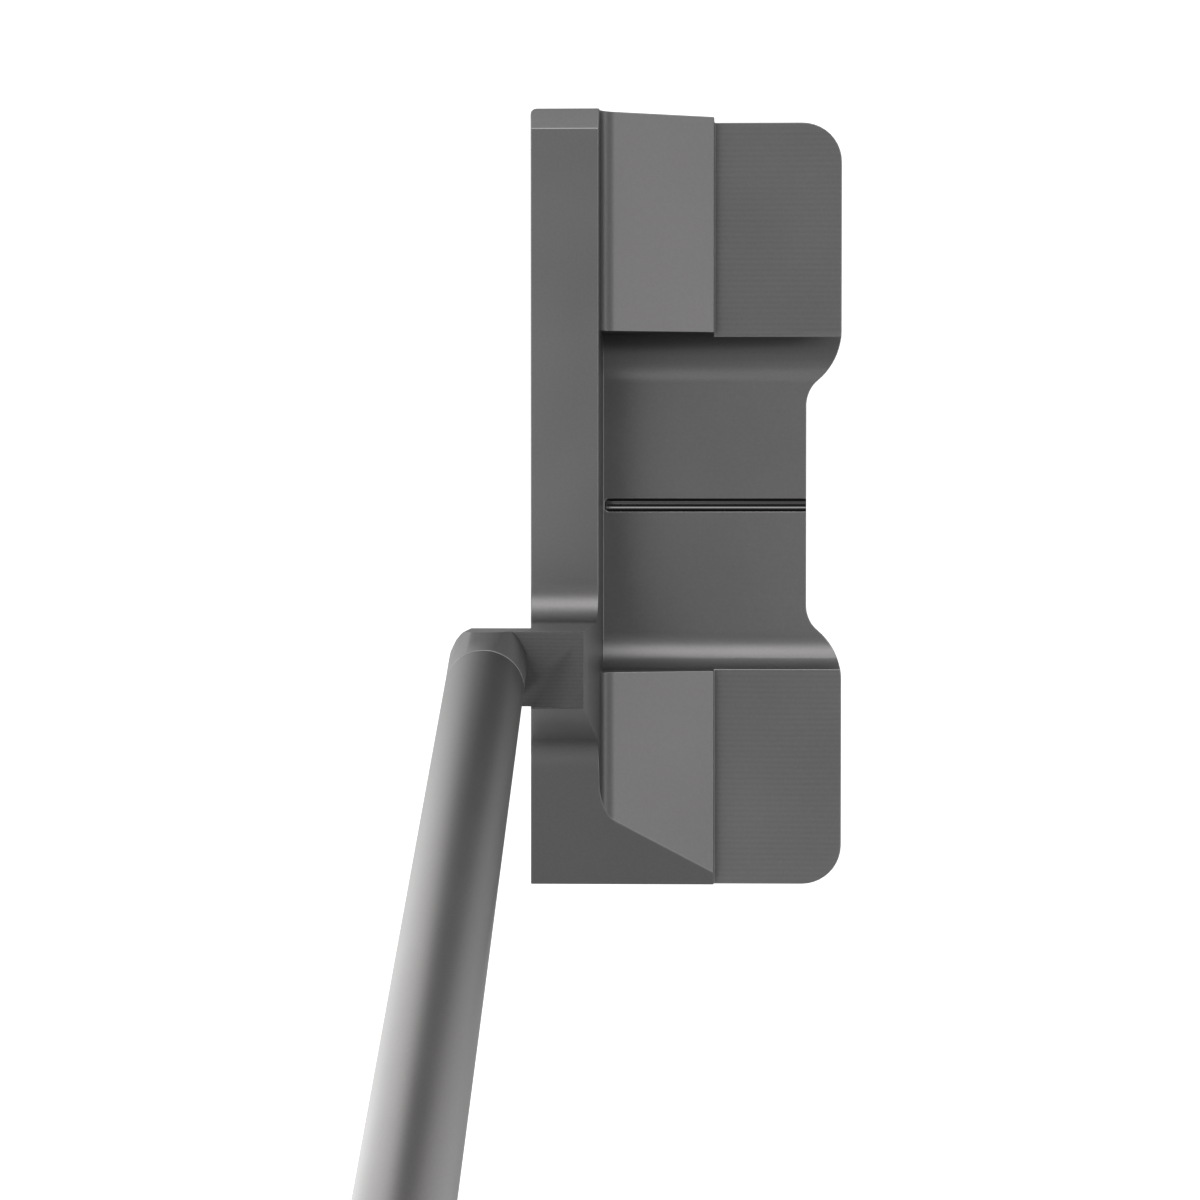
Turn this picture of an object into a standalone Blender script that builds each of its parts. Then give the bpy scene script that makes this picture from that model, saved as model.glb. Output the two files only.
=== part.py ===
"""Blade putter: a milled head with a full-offset plumber's neck, a stepped shaft that fits over
the neck's spigot, a sole plate with two screw-in weights, and a grip. Metres, +Z up.

The origin is on the sole, under the middle of the sight line. +X points to the heel, where the
player stands, and -Y points to the target, so the face looks along -Y."""

import math

import bmesh
import bpy
from mathutils import Matrix, Vector

MM = 0.001

# ---------------------------------------------------------------- driving dimensions
GAP = 0.3 * MM                       # clearance between pieces that touch
ENAMEL_GAP = 0.1 * MM                # clearance round the thin enamel strip
REACH = 100.0 * MM                   # how far a cutter runs past the head
ARC_STEPS = 10                       # straight pieces in each milled arc
ROUND_SIDES = 40                     # sides of a turned piece

# Blade and topline
BLADE_TOE = -57.4 * MM
BLADE_HEEL = 56.1 * MM
HEAD_DEPTH = 45.2 * MM               # topline's front edge to the rear of the outer bumpers
TOPLINE_HEIGHT = 25.0 * MM
TOPLINE_WIDTH = 9.8 * MM
FACE_LOFT = math.radians(3.0)
TOE_CHAMFER_LENGTH = 3.2 * MM
TOE_CHAMFER_DROP = 3.0 * MM
HEEL_FACET_LENGTH = 21.8 * MM        # the plane that runs down from the neck to the heel end
HEEL_FACET_TOP = 24.0 * MM
HEEL_FACET_END = 12.0 * MM

# Inner bumpers, which slope away from the topline
INNER_BUMPER_DEPTH = 16.6 * MM
INNER_BUMPER_REAR_HEIGHT = 13.0 * MM
INNER_BUMPER_SLOPE = math.radians(16.9)
TOPLINE_FOOT_FILLET = 3.1 * MM
INNER_BUMPER_TOE_TAPER = 0.4 * MM     # how far its toe side leans in at the rear

# Outer bumpers, flat and lower
OUTER_BUMPER_HEIGHT = 10.5 * MM
OUTER_BUMPER_CORNER = 5.8 * MM
OUTER_BUMPER_TOE_STEP = 1.0 * MM     # the outer bumper ends this far short of the blade's toe
TOE_BUMPER_LENGTH = 32.0 * MM
HEEL_BUMPER_LENGTH = 31.7 * MM

# Cavity between the bumpers, and the rear recess
CAVITY_FLOOR = 6.0 * MM
CAVITY_TOE_FILLET = 7.2 * MM
CAVITY_HEEL_FILLET = 5.6 * MM
RECESS_DEPTH = 5.1 * MM
RECESS_TOE_SHOULDER = 10.6 * MM      # recess end to the cavity's toe wall
RECESS_HEEL_SHOULDER = 9.5 * MM
RECESS_HOLLOW_RADIUS = 5.1 * MM
RECESS_ROUND_RADIUS = 8.9 * MM

# Sight line
GROOVE_WIDTH = 1.9 * MM
GROOVE_DEPTH = 0.7 * MM
ENAMEL_DEPTH = 0.45 * MM

# Plumber's neck
NECK_FROM_HEEL = 39.35 * MM          # heel end to the neck's flat toe side
NECK_RISE = 42.3 * MM                # topline to the flat top of the neck's arm
NECK_TOP_LENGTH = 10.3 * MM
NECK_FOOT_LENGTH = 17.55 * MM
NECK_FILLET = 5.5 * MM
NECK_HEEL_FILLET = 12.0 * MM
NECK_REAR_DRAFT = 0.5 * MM
ARM_HEIGHT = 13.3 * MM
ARM_EDGE = 0.05 * MM                 # the arm's round end, outside the barrel that leans out of it
JOINT_FORWARD = 3.48 * MM            # shaft axis, ahead of the topline's front edge
JOINT_HEELWARD = 7.02 * MM           # shaft axis at the joint, from the neck's flat toe side
JOINT_RISE = 7.2 * MM                # joint above the arm's flat top
SPIGOT_LENGTH = 22.0 * MM

# Shaft
LIE_ANGLE = math.radians(70.0)
CLUB_LENGTH = 864.0 * MM             # along the shaft's axis, from the ground to the cap
SHAFT_TIP_RADIUS = 5.2 * MM
SHAFT_BUTT_RADIUS = 7.5 * MM
SHAFT_WALL = 0.5 * MM
SHAFT_TIP_PARALLEL = 200.0 * MM
SHAFT_STEPS = 10
SHAFT_STEP_PITCH = 30.0 * MM
SHAFT_STEP_CONE = 2.0 * MM
PLUG_LENGTH = 10.0 * MM

# Sole plate, its screws and the damping pad
PLATE_TO_POCKET = 2.4 * MM           # wall left between the plate's recess and a weight's pocket
PLATE_THICKNESS = 3.6 * MM
PLATE_CORNER = 4.0 * MM
PLATE_FRONT_MARGIN = 5.0 * MM        # behind the topline's front edge
PLATE_REAR_MARGIN = 9.8 * MM         # ahead of the rear of the bumpers
SCREW_INSET = 2.9 * MM
SCREW_RADIUS = 1.5 * MM
SCREW_HEAD_RADIUS = 2.8 * MM
SCREW_HEAD_DEPTH = 1.6 * MM
SCREW_LENGTH = 7.6 * MM
SCREW_SOCKET_RADIUS = 1.15 * MM
SCREW_SOCKET_DEPTH = 1.1 * MM
PAD_FROM_PLATE_END = 10.0 * MM
PAD_WIDTH = 5.0 * MM
PAD_THICKNESS = 1.5 * MM

# Sole weights
WEIGHT_RADIUS = 11.0 * MM
WEIGHT_HEIGHT = 6.2 * MM
WEIGHT_SUNK = 0.2 * MM               # the weight's face sits this far above the sole
WEIGHT_SOCKET_RADIUS = 2.9 * MM
WEIGHT_SOCKET_DEPTH = 3.0 * MM
WEIGHT_FROM_TOE = 14.4 * MM
WEIGHT_FROM_HEEL = 13.1 * MM
WEIGHT_AHEAD_OF_STEP = 3.3 * MM      # ahead of the step between the bumpers
WASHER_THICKNESS = 0.8 * MM
WASHER_BORE = 6.0 * MM

# Relief of the sole at its leading and trailing edges
TRAILING_RELIEF_LENGTH = 9.0 * MM
TRAILING_RELIEF_HEIGHT = 2.2 * MM
LEADING_RELIEF_LENGTH = 4.0 * MM
LEADING_RELIEF_HEIGHT = 0.9 * MM

# Grip
GRIP_LENGTH = 262.0 * MM
GRIP_LOW_HALF_WIDTH = 11.2 * MM
GRIP_TOP_HALF_WIDTH = 14.5 * MM
GRIP_TOP_HALF_DEPTH = 16.5 * MM
GRIP_FLAT_CUT = 0.2                  # share of the half depth that the thumb flat takes at the top
GRIP_SKIN = 1.4 * MM
TAPE_THICKNESS = 0.4 * MM
CAP_THICKNESS = 4.5 * MM
CAP_VENT_RADIUS = 1.6 * MM
GRIP_STATIONS = 14
GRIP_SIDES = 32

# ---------------------------------------------------------------- places worked out from them
FRONT_Y = -HEAD_DEPTH / 2
REAR_Y = HEAD_DEPTH / 2
TOPLINE_REAR_Y = FRONT_Y + TOPLINE_WIDTH
STEP_Y = TOPLINE_REAR_Y + INNER_BUMPER_DEPTH
CAVITY_TOE = BLADE_TOE + TOE_BUMPER_LENGTH
CAVITY_HEEL = BLADE_HEEL - HEEL_BUMPER_LENGTH
NECK_TOE = BLADE_HEEL - NECK_FROM_HEEL
NECK_TOP = TOPLINE_HEIGHT + NECK_RISE
FACET_START = BLADE_HEEL - HEEL_FACET_LENGTH
NECK_FOOT = NECK_TOE + NECK_FOOT_LENGTH
SHAFT_LEAN = math.pi / 2 - LIE_ANGLE
AXIS = Vector((math.sin(SHAFT_LEAN), 0, math.cos(SHAFT_LEAN)))
JOINT = Vector((NECK_TOE + JOINT_HEELWARD, FRONT_Y - JOINT_FORWARD, NECK_TOP + JOINT_RISE))
JOINT_TO_BUTT = CLUB_LENGTH - JOINT.z / AXIS.z - CAP_THICKNESS
SPIGOT_RADIUS = SHAFT_TIP_RADIUS - SHAFT_WALL - GAP
PLATE_FRONT = FRONT_Y + PLATE_FRONT_MARGIN
PLATE_REAR = REAR_Y - PLATE_REAR_MARGIN
WEIGHT_Y = STEP_Y - WEIGHT_AHEAD_OF_STEP
WEIGHT_PLACES = {"toe": BLADE_TOE + WEIGHT_FROM_TOE, "heel": BLADE_HEEL - WEIGHT_FROM_HEEL}
PLATE_FROM_WEIGHT = WEIGHT_RADIUS + GAP + PLATE_TO_POCKET + GAP
PLATE_TOE = WEIGHT_PLACES["toe"] + PLATE_FROM_WEIGHT
PLATE_HEEL = WEIGHT_PLACES["heel"] - PLATE_FROM_WEIGHT
WEIGHT_TOP = WEIGHT_SUNK + WEIGHT_HEIGHT
WASHER_TOP = WEIGHT_TOP + GAP + WASHER_THICKNESS

PLAN = Matrix.Identity(4)
FRONT = Matrix(((1, 0, 0, 0), (0, 0, -1, 0), (0, 1, 0, 0), (0, 0, 0, 1)))
SIDE = Matrix(((0, 0, 1, 0), (1, 0, 0, 0), (0, 1, 0, 0), (0, 0, 0, 1)))


# ---------------------------------------------------------------- tools
def clear_scene():
    for item in list(bpy.context.scene.objects):
        bpy.data.objects.remove(item, do_unlink=True)


def new_collection(name):
    collection = bpy.data.collections.new(name)
    bpy.context.scene.collection.children.link(collection)
    return collection


def finish_material(name, colour, roughness, metallic):
    material = bpy.data.materials.new(name)
    material.use_nodes = True
    shader = material.node_tree.nodes["Principled BSDF"]
    shader.inputs["Base Color"].default_value = (*colour, 1)
    shader.inputs["Roughness"].default_value = roughness
    shader.inputs["Metallic"].default_value = metallic
    return material


def arc(centre, radius, start, end, steps=ARC_STEPS):
    """Points along an arc, from the start angle to the end angle, in degrees."""
    points = []
    for step in range(steps + 1):
        angle = math.radians(start + (end - start) * step / steps)
        points.append((centre[0] + radius * math.cos(angle), centre[1] + radius * math.sin(angle)))
    return points


def rounded_rectangle(low, high, radius):
    corners = ((high[0], high[1], 0), (low[0], high[1], 90), (low[0], low[1], 180), (high[0], low[1], 270))
    points = []
    for x, y, turn in corners:
        inward_x = x - radius if x == high[0] else x + radius
        inward_y = y - radius if y == high[1] else y + radius
        points += arc((inward_x, inward_y), radius, turn, turn + 90, 6)
    return points


def rounded_corner(before, corner, after, radius):
    """The arc that rounds the corner between two straight lines."""
    corner = Vector(corner)
    back = (Vector(before) - corner).normalized()
    ahead = (Vector(after) - corner).normalized()
    half = back.angle(ahead) / 2
    centre = corner + (back + ahead).normalized() * radius / math.sin(half)
    reach = radius / math.tan(half)
    start = corner + back * reach - centre
    end = corner + ahead * reach - centre
    spokes = [start.slerp(end, step / ARC_STEPS).normalized() for step in range(ARC_STEPS + 1)]
    return [tuple(centre + spoke * radius) for spoke in spokes]


def add_mesh(name, mesh, collection, matrix=PLAN):
    item = bpy.data.objects.new(name, mesh)
    item.matrix_world = matrix
    collection.objects.link(item)
    return item


def prism(name, outline, low, high, plane, collection):
    """A flat outline with a thickness: PLAN runs from low to high in Z, FRONT in Y and SIDE in X."""
    curve = bpy.data.curves.new(name + "_outline", "CURVE")
    curve.dimensions = "2D"
    curve.fill_mode = "BOTH"
    curve.extrude = (high - low) / 2
    spline = curve.splines.new("POLY")
    spline.points.add(len(outline) - 1)
    for point, (across, up) in zip(spline.points, outline):
        point.co = (across, up, 0, 1)
    spline.use_cyclic_u = True
    flat = bpy.data.objects.new(name + "_outline", curve)
    middle = (high + low) / 2
    shift = {"PLAN": (0, 0, middle), "FRONT": (0, middle, 0), "SIDE": (middle, 0, 0)}
    kind = "PLAN" if plane is PLAN else "FRONT" if plane is FRONT else "SIDE"
    flat.matrix_world = Matrix.Translation(shift[kind]) @ plane
    collection.objects.link(flat)
    bpy.context.view_layer.update()
    graph = bpy.context.evaluated_depsgraph_get()
    mesh = bpy.data.meshes.new_from_object(flat.evaluated_get(graph))
    work = bmesh.new()
    work.from_mesh(mesh)
    bmesh.ops.remove_doubles(work, verts=work.verts, dist=0.001 * MM)
    bmesh.ops.recalc_face_normals(work, faces=work.faces)
    work.to_mesh(mesh)
    work.free()
    matrix = flat.matrix_world.copy()
    bpy.data.objects.remove(flat, do_unlink=True)
    bpy.data.curves.remove(curve)
    return add_mesh(name, mesh, collection, matrix)


def rod(name, radius, length, matrix, collection, sides=ROUND_SIDES):
    """A round or many-sided bar that stands on its origin and runs up its own Z axis."""
    mesh = bpy.data.meshes.new(name)
    work = bmesh.new()
    bmesh.ops.create_cone(
        work, cap_ends=True, segments=sides, radius1=radius, radius2=radius, depth=length,
        matrix=Matrix.Translation((0, 0, length / 2)),
    )
    work.to_mesh(mesh)
    work.free()
    return add_mesh(name, mesh, collection, matrix)


def turned(name, profile, matrix, collection, sides=ROUND_SIDES):
    """A closed profile of (radius, height) points, down its outer side, turned about its Z axis."""
    mesh = bpy.data.meshes.new(name)
    count = len(profile)
    edges = [(index, (index + 1) % count) for index in range(count)]
    if profile[0][0] == 0:
        edges.pop()
    mesh.from_pydata([(radius, 0, height) for radius, height in profile], edges, [])
    item = add_mesh(name, mesh, collection, matrix)
    screw = item.modifiers.new("turn", "SCREW")
    screw.axis = "Z"
    screw.steps = sides
    screw.render_steps = sides
    screw.use_merge_vertices = True
    screw.merge_threshold = 0.001 * MM
    return item


def boolean(target, other, operation):
    modifier = target.modifiers.new(other.name, "BOOLEAN")
    modifier.operation = operation
    modifier.object = other
    modifier.solver = "EXACT"


def hide_cutters(collection):
    for item in collection.objects:
        item.hide_render = True
        item.display_type = "WIRE"


def shade(item, material, smooth_angle=30):
    item.data.materials.clear()
    item.data.materials.append(material)
    item.data.shade_smooth()
    item.data.set_sharp_from_angle(angle=math.radians(smooth_angle))


def along_axis(distance):
    """The frame whose Z runs up the shaft and whose origin is that far above the joint."""
    place = JOINT + AXIS * distance
    return Matrix.Translation(place) @ Matrix.Rotation(SHAFT_LEAN, 4, "Y")


def sleeve(name, stations, outer, inner, collection):
    """A tube on the shaft's axis, lofted through rings. outer and inner give (x, y) at a station
    and an angle, in the shaft's own frame."""
    work = bmesh.new()
    loops = []
    for station in stations:
        for section in (outer, inner):
            ring = []
            for side in range(GRIP_SIDES):
                x, y = section(station, 2 * math.pi * side / GRIP_SIDES)
                ring.append(work.verts.new((x, y, station)))
            loops.append(ring)
    bands = [(index, index + 2) for index in range(len(loops) - 2)]
    bands += [(0, 1), (len(loops) - 2, len(loops) - 1)]
    for first, second in bands:
        for side in range(GRIP_SIDES):
            ahead = (side + 1) % GRIP_SIDES
            corners = (loops[first][side], loops[first][ahead], loops[second][ahead], loops[second][side])
            work.faces.new(corners)
    bmesh.ops.recalc_face_normals(work, faces=work.faces)
    mesh = bpy.data.meshes.new(name)
    work.to_mesh(mesh)
    work.free()
    return add_mesh(name, mesh, collection, along_axis(0))


# ---------------------------------------------------------------- head
def plan_outline():
    """The head from above: straight face side, round outer bumpers, and the rear recess between
    two double curves."""
    swing = math.acos(1 - RECESS_DEPTH / (RECESS_HOLLOW_RADIUS + RECESS_ROUND_RADIUS))
    turn = math.degrees(swing)
    run = (RECESS_HOLLOW_RADIUS + RECESS_ROUND_RADIUS) * math.sin(swing)
    recess_y = REAR_Y - RECESS_DEPTH
    recess_toe = CAVITY_TOE + RECESS_TOE_SHOULDER
    recess_heel = CAVITY_HEEL - RECESS_HEEL_SHOULDER
    outer_toe = BLADE_TOE + OUTER_BUMPER_TOE_STEP
    corner = OUTER_BUMPER_CORNER
    lowest = FRONT_Y - TOPLINE_HEIGHT * math.tan(FACE_LOFT) - GAP
    points = [(BLADE_TOE, lowest), (BLADE_HEEL, lowest)]
    points += arc((BLADE_HEEL - corner, REAR_Y - corner), corner, 0, 90)
    points += arc((recess_heel + run, REAR_Y - RECESS_ROUND_RADIUS), RECESS_ROUND_RADIUS, 90, 90 + turn)
    points += arc((recess_heel, recess_y + RECESS_HOLLOW_RADIUS), RECESS_HOLLOW_RADIUS, 270 + turn, 270)[1:]
    points += arc((recess_toe, recess_y + RECESS_HOLLOW_RADIUS), RECESS_HOLLOW_RADIUS, 270, 270 - turn)
    points += arc((recess_toe - run, REAR_Y - RECESS_ROUND_RADIUS), RECESS_ROUND_RADIUS, 90 - turn, 90)[1:]
    points += arc((outer_toe + corner, REAR_Y - corner), corner, 90, 180)
    points += [(outer_toe, STEP_Y), (BLADE_TOE + INNER_BUMPER_TOE_TAPER, STEP_Y)]
    return points + [(BLADE_TOE, TOPLINE_REAR_Y)]


def face_side():
    """Everything in front of the lofted face, whose plane runs on up the neck's post."""
    lean = math.tan(FACE_LOFT)
    below = -MM
    foot = FRONT_Y - (TOPLINE_HEIGHT - below) * lean
    top = FRONT_Y + (REACH - TOPLINE_HEIGHT) * lean
    return [(-REACH, below), (foot, below), (top, REACH), (-REACH, REACH)]


def above_bumpers():
    """Everything above the bumpers and behind the topline and the post."""
    slope = math.tan(INNER_BUMPER_SLOPE)
    foot_height = INNER_BUMPER_REAR_HEIGHT + INNER_BUMPER_DEPTH * slope
    radius = TOPLINE_FOOT_FILLET
    centre_z = foot_height - radius * slope + radius / math.cos(INNER_BUMPER_SLOPE)
    landing = 270 - math.degrees(INNER_BUMPER_SLOPE)
    points = [(TOPLINE_REAR_Y - NECK_REAR_DRAFT, REACH), (TOPLINE_REAR_Y - NECK_REAR_DRAFT, NECK_TOP)]
    points += [(TOPLINE_REAR_Y, TOPLINE_HEIGHT)]
    points += arc((TOPLINE_REAR_Y + radius, centre_z), radius, 180, landing, 6)
    points += [(STEP_Y, INNER_BUMPER_REAR_HEIGHT), (STEP_Y, OUTER_BUMPER_HEIGHT)]
    points += [(REACH, OUTER_BUMPER_HEIGHT), (REACH, REACH)]
    return points


def heel_side():
    """Everything on the heel side of the neck, whose flare runs into the heel's facet."""
    drop = (HEEL_FACET_TOP - HEEL_FACET_END) / HEEL_FACET_LENGTH
    flare = (NECK_FOOT_LENGTH - NECK_TOP_LENGTH) / (NECK_TOP - HEEL_FACET_TOP)
    top = (NECK_FOOT - (REACH - HEEL_FACET_TOP) * flare, REACH)
    foot = (NECK_FOOT, HEEL_FACET_TOP - (NECK_FOOT - FACET_START) * drop)
    end = (REACH, HEEL_FACET_TOP - (REACH - FACET_START) * drop)
    return [top] + rounded_corner(top, foot, end, NECK_HEEL_FILLET) + [end, (REACH, REACH)]


def arm_outline():
    """The neck's arm from above: straight sides out of the post, and a round end that is as wide
    as the leaning barrel where it leaves the arm's top."""
    centre_x = JOINT.x - JOINT_RISE * math.tan(SHAFT_LEAN)
    half_length = SHAFT_TIP_RADIUS / math.cos(SHAFT_LEAN) + ARM_EDGE
    half_width = SHAFT_TIP_RADIUS + ARM_EDGE
    rear = FRONT_Y + TOPLINE_WIDTH * 0.8
    points = [(centre_x + half_length, rear), (centre_x - half_length, rear)]
    for step in range(ROUND_SIDES // 2 + 1):
        angle = math.pi + 2 * math.pi * step / ROUND_SIDES
        points.append((centre_x + half_length * math.cos(angle), JOINT.y + half_width * math.sin(angle)))
    return points


def above_topline():
    """Everything above the toe chamfer and the topline, up to the neck's flat toe side."""
    slope = TOE_CHAMFER_DROP / TOE_CHAMFER_LENGTH
    chamfer_end = BLADE_TOE + TOE_CHAMFER_LENGTH
    past = BLADE_TOE - 5 * MM
    points = [(past, REACH), (past, TOPLINE_HEIGHT - TOE_CHAMFER_DROP - (BLADE_TOE - past) * slope)]
    points += [(chamfer_end, TOPLINE_HEIGHT)]
    centre = (NECK_TOE - NECK_FILLET, TOPLINE_HEIGHT + NECK_FILLET)
    points += arc(centre, NECK_FILLET, 270, 360)
    points += [(NECK_TOE, REACH)]
    return points


def cavity_section():
    """The cavity between the bumpers, with its two round bottom corners."""
    toe, heel = CAVITY_TOE_FILLET, CAVITY_HEEL_FILLET
    points = [(CAVITY_HEEL, REACH), (CAVITY_TOE, REACH)]
    points += arc((CAVITY_TOE + toe, CAVITY_FLOOR + toe), toe, 180, 270)
    points += arc((CAVITY_HEEL - heel, CAVITY_FLOOR + heel), heel, 270, 360)
    return points


def sole_relief():
    """The two wedges taken off the sole, at its trailing edge and at its leading edge."""
    rear_slope = TRAILING_RELIEF_HEIGHT / TRAILING_RELIEF_LENGTH
    start = REAR_Y - TRAILING_RELIEF_LENGTH
    past = 10 * MM
    rear = [(start - past, -past * rear_slope), (REAR_Y + past, TRAILING_RELIEF_HEIGHT + past * rear_slope)]
    rear += [(REAR_Y + past, -past)]
    front_slope = LEADING_RELIEF_HEIGHT / LEADING_RELIEF_LENGTH
    lowest = FRONT_Y - TOPLINE_HEIGHT * math.tan(FACE_LOFT)
    start = lowest + LEADING_RELIEF_LENGTH
    front = [(start + past, -past * front_slope), (lowest - past, -past)]
    front += [(lowest - past, LEADING_RELIEF_HEIGHT + past * front_slope)]
    return rear, front


def screw_places():
    toe, heel = PLATE_TOE + SCREW_INSET, PLATE_HEEL - SCREW_INSET
    near, far = PLATE_FRONT + SCREW_INSET, PLATE_REAR - SCREW_INSET
    return [(toe, near), (heel, near), (toe, far), (heel, far)]


def pad_box(margin):
    """Lowest and highest corner of the damping pad in plan, grown by a margin."""
    front = PLATE_FRONT + GAP
    low = (PLATE_TOE + PAD_FROM_PLATE_END - margin, front - margin)
    high = (PLATE_HEEL - PAD_FROM_PLATE_END + margin, front + PAD_WIDTH + margin)
    return low, high


def build_barrel(cutters):
    """A bar on the shaft's axis that ends square at the joint and level, just inside the arm."""
    length = 2 * JOINT_RISE
    barrel = rod("barrel", SHAFT_TIP_RADIUS, length, along_axis(-length), cutters)
    foot = NECK_TOP - ARM_EDGE
    for vertex in barrel.data.vertices:
        if vertex.co.z < length / 2:
            vertex.co.z = length - (JOINT.z - foot - vertex.co.x * AXIS.x) / AXIS.z
    return barrel


def build_head(parts, cutters, material):
    head = prism("head_body", plan_outline(), 0, REACH * 0.9, PLAN, parts)
    boolean(head, prism("face_cut", face_side(), -REACH, REACH, SIDE, cutters), "DIFFERENCE")
    boolean(head, prism("bumper_cut", above_bumpers(), -REACH, REACH, SIDE, cutters), "DIFFERENCE")

    boolean(head, prism("heel_cut", heel_side(), -REACH, REACH, FRONT, cutters), "DIFFERENCE")
    arm_low = NECK_TOP - ARM_HEIGHT
    boolean(head, prism("arm", arm_outline(), arm_low, REACH * 0.85, PLAN, cutters), "UNION")
    above_arm = [(-REACH, NECK_TOP), (REACH, NECK_TOP), (REACH, REACH), (-REACH, REACH)]
    boolean(head, prism("top_cut", above_arm, -REACH, REACH, FRONT, cutters), "DIFFERENCE")
    boolean(head, build_barrel(cutters), "UNION")
    boolean(head, prism("toe_cut", above_topline(), -REACH, REACH, FRONT, cutters), "DIFFERENCE")
    root = 2 * MM
    spigot = rod("spigot", SPIGOT_RADIUS, SPIGOT_LENGTH + root, along_axis(-root), cutters)
    boolean(head, spigot, "UNION")

    cavity = prism("cavity", cavity_section(), TOPLINE_REAR_Y, REACH, FRONT, cutters)
    boolean(head, cavity, "DIFFERENCE")
    groove = rounded_rectangle(
        (-GROOVE_WIDTH / 2, TOPLINE_REAR_Y + GAP), (GROOVE_WIDTH / 2, REAR_Y), GROOVE_WIDTH * 0.3)
    groove_cut = prism("groove", groove, CAVITY_FLOOR - GROOVE_DEPTH, CAVITY_FLOOR + MM, PLAN, cutters)
    boolean(head, groove_cut, "DIFFERENCE")

    plate_low = (PLATE_TOE - GAP, PLATE_FRONT - GAP)
    plate_high = (PLATE_HEEL + GAP, PLATE_REAR + GAP)
    outline = rounded_rectangle(plate_low, plate_high, PLATE_CORNER + GAP)
    recess_top = PLATE_THICKNESS + GAP
    boolean(head, prism("plate_recess", outline, -MM, recess_top, PLAN, cutters), "DIFFERENCE")
    pad_low, pad_high = pad_box(GAP)
    pad_top = recess_top + PAD_THICKNESS + GAP
    pad_outline = rounded_rectangle(pad_low, pad_high, MM)
    boolean(head, prism("pad_recess", pad_outline, 0, pad_top, PLAN, cutters), "DIFFERENCE")
    for index, (x, y) in enumerate(screw_places(), 1):
        place = Matrix.Translation((x, y, 0))
        hole = rod(f"screw_hole_{index}", SCREW_RADIUS + GAP, SCREW_LENGTH + 2 * GAP, place, cutters, 16)
        boolean(head, hole, "DIFFERENCE")
    for side, x in WEIGHT_PLACES.items():
        place = Matrix.Translation((x, WEIGHT_Y, -MM))
        pocket = rod(f"{side}_pocket", WEIGHT_RADIUS + GAP, WASHER_TOP + GAP + MM, place, cutters)
        boolean(head, pocket, "DIFFERENCE")
    rear, front = sole_relief()
    boolean(head, prism("trailing_relief", rear, -REACH, REACH, SIDE, cutters), "DIFFERENCE")
    boolean(head, prism("leading_relief", front, -REACH, REACH, SIDE, cutters), "DIFFERENCE")
    shade(head, material)


def build_sight_line(parts, material):
    half = GROOVE_WIDTH / 2 - ENAMEL_GAP
    rear = REAR_Y - RECESS_DEPTH
    low = (-half, TOPLINE_REAR_Y + GAP + ENAMEL_GAP)
    bottom = CAVITY_FLOOR - GROOVE_DEPTH + ENAMEL_GAP
    outline = rounded_rectangle(low, (half, rear), GROOVE_WIDTH * 0.25)
    fill = prism("sight_line_fill", outline, bottom, bottom + ENAMEL_DEPTH, PLAN, parts)
    shade(fill, material)


# ---------------------------------------------------------------- sole
def build_sole(parts, cutters, plate_material, pad_material, screw_material):
    outline = rounded_rectangle((PLATE_TOE, PLATE_FRONT), (PLATE_HEEL, PLATE_REAR), PLATE_CORNER)
    plate = prism("sole_plate", outline, 0, PLATE_THICKNESS, PLAN, parts)
    head_top = SCREW_HEAD_DEPTH + GAP
    through = PLATE_THICKNESS + MM
    socket_radius = SCREW_HEAD_RADIUS + GAP
    shank_radius = SCREW_RADIUS + GAP
    for index, (x, y) in enumerate(screw_places(), 1):
        place = Matrix.Translation((x, y, 0))
        countersink = [(0, through), (shank_radius, through), (shank_radius, head_top)]
        countersink += [(socket_radius, 0), (socket_radius, -MM), (0, -MM)]
        boolean(plate, turned(f"countersink_{index}", countersink, place, cutters, 24), "DIFFERENCE")
        seat = Matrix.Translation((x, y, GAP / 2))
        profile = [(0, SCREW_LENGTH), (SCREW_RADIUS * 0.7, SCREW_LENGTH)]
        profile += [(SCREW_RADIUS, SCREW_LENGTH - SCREW_RADIUS * 0.3), (SCREW_RADIUS, SCREW_HEAD_DEPTH)]
        profile += [(SCREW_HEAD_RADIUS, 0), (0, 0)]
        screw = turned(f"sole_screw_{index}", profile, seat, parts, 24)
        socket_place = Matrix.Translation((x, y, -MM))
        depth = MM + GAP / 2 + SCREW_SOCKET_DEPTH
        socket = rod(f"screw_socket_{index}", SCREW_SOCKET_RADIUS, depth, socket_place, cutters, 6)
        boolean(screw, socket, "DIFFERENCE")
        shade(screw, screw_material)
    shade(plate, plate_material)

    low, high = pad_box(0)
    bottom = PLATE_THICKNESS + GAP
    pad = prism("sole_damping_pad", rounded_rectangle(low, high, MM * 0.7), bottom,
                bottom + PAD_THICKNESS, PLAN, parts)
    shade(pad, pad_material)


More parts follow.
